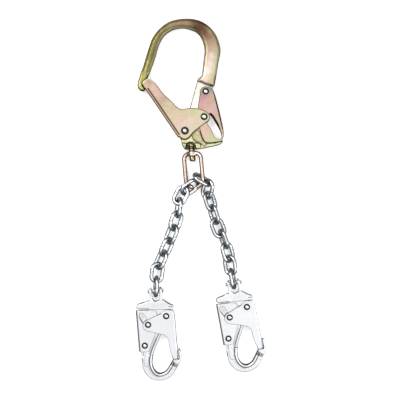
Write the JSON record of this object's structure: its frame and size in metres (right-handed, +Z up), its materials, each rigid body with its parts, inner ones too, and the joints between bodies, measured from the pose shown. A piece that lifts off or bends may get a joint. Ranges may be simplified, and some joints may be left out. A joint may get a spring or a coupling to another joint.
{
  "type": "rebar positioning chain assembly",
  "caption": "Two-leg chain assembly: a large locking scaffold hook on a swivel ring, with a chain leg and a self-locking snap hook on each side.",
  "frame": {"origin": "middle of the laid-out assembly, on the surface that it lies on", "axes": "+Y towards the big hook, +X to the right seen from above, +Z up through the thickness of the hooks"},
  "size_m": [0.2298, 0.6408, 0.0288],
  "materials": {
    "forged_yellow_zinc": "forged steel, yellow chromated zinc, iridescent",
    "gate_tan_zinc": "pressed steel, yellow chromated zinc, tan to rose",
    "lever_rose_zinc": "pressed steel, yellow chromated zinc, rose",
    "ring_copper_zinc": "steel, yellow chromated zinc, copper tone",
    "stud_olive_zinc": "turned steel, yellow chromated zinc",
    "rivet_steel": "bright steel rivet",
    "chain_zinc": "bright zinc plate",
    "snap_zinc": "bright zinc plate",
    "spring_wire": "drawn spring wire"
  },
  "bodies": {
    "big_hook": {"big_hook_body": "forged_yellow_zinc", "big_gate_rivet": "rivet_steel", "big_lever_rivet": "rivet_steel", "big_gate_spring": "spring_wire", "big_lever_spring": "spring_wire"},
    "big_gate": {"big_gate": "gate_tan_zinc", "big_lock_pin": "rivet_steel"},
    "big_lever": {"big_lock_lever": "lever_rose_zinc"},
    "swivel": {"swivel_stud": "stud_olive_zinc", "swivel_ring": "ring_copper_zinc"},
    "left_link_1": {"left_link_1": "chain_zinc"},
    "left_link_2": {"left_link_2": "chain_zinc"},
    "left_link_3": {"left_link_3": "chain_zinc"},
    "left_link_4": {"left_link_4": "chain_zinc"},
    "left_link_5": {"left_link_5": "chain_zinc"},
    "left_link_6": {"left_link_6": "chain_zinc"},
    "left_link_7": {"left_link_7": "chain_zinc"},
    "left_link_8": {"left_link_8": "chain_zinc"},
    "left_link_9": {"left_link_9": "chain_zinc"},
    "left_snap": {"left_snap_body": "snap_zinc", "left_snap_gate_rivet": "rivet_steel", "left_snap_lever_rivet": "rivet_steel", "left_snap_gate_spring": "spring_wire", "left_snap_lever_spring": "spring_wire", "left_snap_clevis_pin": "snap_zinc"},
    "left_snap_gate": {"left_snap_gate": "snap_zinc", "left_snap_lock_pin": "rivet_steel"},
    "left_snap_lever": {"left_snap_lock_lever": "snap_zinc"},
    "right_link_1": {"right_link_1": "chain_zinc"},
    "right_link_2": {"right_link_2": "chain_zinc"},
    "right_link_3": {"right_link_3": "chain_zinc"},
    "right_link_4": {"right_link_4": "chain_zinc"},
    "right_link_5": {"right_link_5": "chain_zinc"},
    "right_link_6": {"right_link_6": "chain_zinc"},
    "right_link_7": {"right_link_7": "chain_zinc"},
    "right_link_8": {"right_link_8": "chain_zinc"},
    "right_link_9": {"right_link_9": "chain_zinc"},
    "right_snap": {"right_snap_body": "snap_zinc", "right_snap_gate_rivet": "rivet_steel", "right_snap_lever_rivet": "rivet_steel", "right_snap_gate_spring": "spring_wire", "right_snap_lever_spring": "spring_wire", "right_snap_clevis_pin": "snap_zinc"},
    "right_snap_gate": {"right_snap_gate": "snap_zinc", "right_snap_lock_pin": "rivet_steel"},
    "right_snap_lever": {"right_snap_lock_lever": "snap_zinc"}
  },
  "joints": [
    {"name": "big_gate_hinge", "type": "hinge", "parent": "big_hook", "child": "big_gate", "pos_m": [-0.02812, 0.12187, 0.0108], "axis": [0, 0, -1], "range_deg": [0, 44], "stiffness_Nm_per_rad": 0.35, "springref_deg": -34.38},
    {"name": "big_lever_hinge", "type": "hinge", "parent": "big_hook", "child": "big_lever", "pos_m": [0.00858, 0.19137, 0.0108], "axis": [0, 0, -1], "range_deg": [0, 12.01], "stiffness_Nm_per_rad": 0.2, "springref_deg": -22.92},
    {"name": "swivel", "type": "hinge", "parent": "big_hook", "child": "swivel", "pos_m": [-0.01642, 0.09027, 0.0108], "axis": [0.0872, -0.9962, 0], "continuous": true},
    {"name": "left_link_1_hinge", "type": "hinge", "parent": "swivel", "child": "left_link_1", "pos_m": [-0.01281, 0.02198, 0.00994], "axis": [0.9382, -0.0749, 0.3378], "range_deg": [-15, 15]},
    {"name": "left_link_2_hinge", "type": "hinge", "parent": "left_link_1", "child": "left_link_2", "pos_m": [-0.03148, 0.02268, 0.01666], "axis": [0.5547, 0.8174, 0.1552], "range_deg": [-30, 2]},
    {"name": "left_link_3_hinge", "type": "hinge", "parent": "left_link_2", "child": "left_link_3", "pos_m": [-0.04577, -0.00372, 0.01085], "axis": [-0.5598, 0.7469, -0.3588], "range_deg": [-30, 2]},
    {"name": "left_link_4_hinge", "type": "hinge", "parent": "left_link_3", "child": "left_link_4", "pos_m": [-0.04259, -0.02879, 0.01044], "axis": [0.2421, -0.3537, 0.9035], "range_deg": [-18, 30]},
    {"name": "left_link_5_hinge", "type": "hinge", "parent": "left_link_4", "child": "left_link_5", "pos_m": [-0.04889, -0.05264, 0.0136], "axis": [0.7456, -0.2597, -0.6137], "range_deg": [-30, 30]},
    {"name": "left_link_6_hinge", "type": "hinge", "parent": "left_link_5", "child": "left_link_6", "pos_m": [-0.05698, -0.07565, 0.0131], "axis": [-0.6859, 0.2161, -0.6949], "range_deg": [-30, 30]},
    {"name": "left_link_7_hinge", "type": "hinge", "parent": "left_link_6", "child": "left_link_7", "pos_m": [-0.06638, -0.09813, 0.01162], "axis": [0.668, -0.1837, -0.7212], "range_deg": [-30, 30]},
    {"name": "left_link_8_hinge", "type": "hinge", "parent": "left_link_7", "child": "left_link_8", "pos_m": [-0.07838, -0.11887, 0.00908], "axis": [0.4238, -0.5575, 0.7139], "range_deg": [-30, 20]},
    {"name": "left_link_9_hinge", "type": "hinge", "parent": "left_link_8", "child": "left_link_9", "pos_m": [-0.07767, -0.14433, 0.01306], "axis": [-0.8967, -0.0554, 0.4392], "range_deg": [-30, 30]},
    {"name": "left_clevis_hinge", "type": "hinge", "parent": "left_link_9", "child": "left_snap", "pos_m": [-0.08007, -0.16114, 0.0125], "axis": [-0.9968, -0.0802, 0], "range_deg": [-60, 60]},
    {"name": "left_snap_gate_hinge", "type": "hinge", "parent": "left_snap", "child": "left_snap_gate", "pos_m": [-0.06123, -0.20453, 0.0107], "axis": [-0.0032, 0.04, -0.9992], "range_deg": [0, 18], "stiffness_Nm_per_rad": 0.15, "springref_deg": -28.65},
    {"name": "left_snap_lever_hinge", "type": "hinge", "parent": "left_snap", "child": "left_snap_lever", "pos_m": [-0.09902, -0.25729, 0.00871], "axis": [-0.0032, 0.04, -0.9992], "range_deg": [0, 9.01], "stiffness_Nm_per_rad": 0.1, "springref_deg": -22.92},
    {"name": "right_link_1_hinge", "type": "hinge", "parent": "swivel", "child": "right_link_1", "pos_m": [0.00204, 0.0316, 0.01563], "axis": [0.3625, 0.918, 0.1606], "range_deg": [-15, 15]},
    {"name": "right_link_2_hinge", "type": "hinge", "parent": "right_link_1", "child": "right_link_2", "pos_m": [0.01308, 0.0328, 0.00497], "axis": [0.5603, -0.6838, 0.4674], "range_deg": [-15, 2]},
    {"name": "right_link_3_hinge", "type": "hinge", "parent": "right_link_2", "child": "right_link_3", "pos_m": [0.01273, 0.00329, 0.01176], "axis": [-0.7102, -0.1908, -0.6776], "range_deg": [-30, 30]},
    {"name": "right_link_4_hinge", "type": "hinge", "parent": "right_link_3", "child": "right_link_4", "pos_m": [0.0189, -0.01812, 0.01361], "axis": [0.7498, -0.1026, -0.6537], "range_deg": [-30, 30]},
    {"name": "right_link_5_hinge", "type": "hinge", "parent": "right_link_4", "child": "right_link_5", "pos_m": [0.02704, -0.04145, 0.0132], "axis": [0.5058, 0.0684, 0.8599], "range_deg": [-30, 30]},
    {"name": "right_link_6_hinge", "type": "hinge", "parent": "right_link_5", "child": "right_link_6", "pos_m": [0.04179, -0.05335, 0.00964], "axis": [-0.1636, 0.9836, -0.0755], "range_deg": [-22, 18]},
    {"name": "right_link_7_hinge", "type": "hinge", "parent": "right_link_6", "child": "right_link_7", "pos_m": [0.04422, -0.08417, 0.01102], "axis": [-0.4095, 0.1701, -0.8963], "range_deg": [-30, 20]},
    {"name": "right_link_8_hinge", "type": "hinge", "parent": "right_link_7", "child": "right_link_8", "pos_m": [0.05392, -0.10646, 0.01011], "axis": [-0.6137, -0.5383, 0.5776], "range_deg": [-30, 30]},
    {"name": "right_link_9_hinge", "type": "hinge", "parent": "right_link_8", "child": "right_link_9", "pos_m": [0.05101, -0.13113, 0.01], "axis": [0.8001, -0.2418, 0.5489], "range_deg": [-14, 30]},
    {"name": "right_clevis_hinge", "type": "hinge", "parent": "right_link_9", "child": "right_snap", "pos_m": [0.05783, -0.14717, 0.0125], "axis": [-0.9836, -0.1805, 0], "range_deg": [-60, 60]},
    {"name": "right_snap_gate_hinge", "type": "hinge", "parent": "right_snap", "child": "right_snap_gate", "pos_m": [0.08096, -0.18844, 0.0107], "axis": [-0.0072, 0.0395, -0.9992], "range_deg": [0, 18], "stiffness_Nm_per_rad": 0.15, "springref_deg": -28.65},
    {"name": "right_snap_lever_hinge", "type": "hinge", "parent": "right_snap", "child": "right_snap_lever", "pos_m": [0.0487, -0.24475, 0.00871], "axis": [-0.0072, 0.0395, -0.9992], "range_deg": [0, 9.01], "stiffness_Nm_per_rad": 0.1, "springref_deg": -22.92}
  ],
  "couplings": [
    {"joint": "big_lever_hinge", "follows": "big_gate_hinge", "ratio": 0.27273},
    {"joint": "left_snap_lever_hinge", "follows": "left_snap_gate_hinge", "ratio": 0.5},
    {"joint": "right_snap_lever_hinge", "follows": "right_snap_gate_hinge", "ratio": 0.5}
  ]
}
